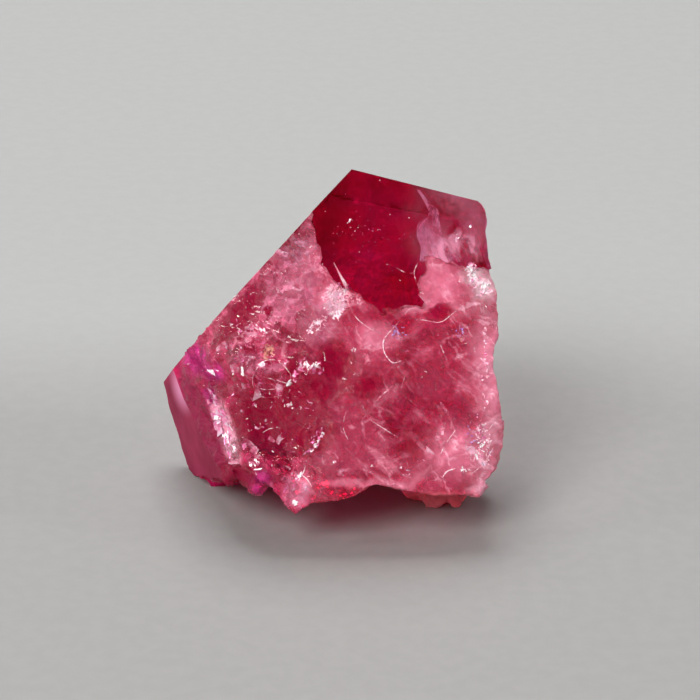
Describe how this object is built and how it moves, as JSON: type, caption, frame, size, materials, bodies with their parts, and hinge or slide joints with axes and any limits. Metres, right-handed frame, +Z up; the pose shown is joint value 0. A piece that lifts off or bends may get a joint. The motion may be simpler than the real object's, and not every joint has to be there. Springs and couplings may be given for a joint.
{
  "type": "red beryl crystal",
  "caption": "Broken piece of a six-sided red beryl prism with glassy natural faces, lying on its fractured underside.",
  "frame": {"origin": "on the ground, under the middle of the crystal's outer box as it lies", "axes": "+Z up from the surface it lies on, -Y towards the broken front, which leans back, +X to the right seen from that front"},
  "size_m": [0.0082, 0.0068, 0.008],
  "materials": {
    "beryl": "clear raspberry red, glassy on natural faces, rough and milky pink on fractures"
  },
  "bodies": {
    "root": {"crystal": "beryl"}
  },
  "joints": []
}
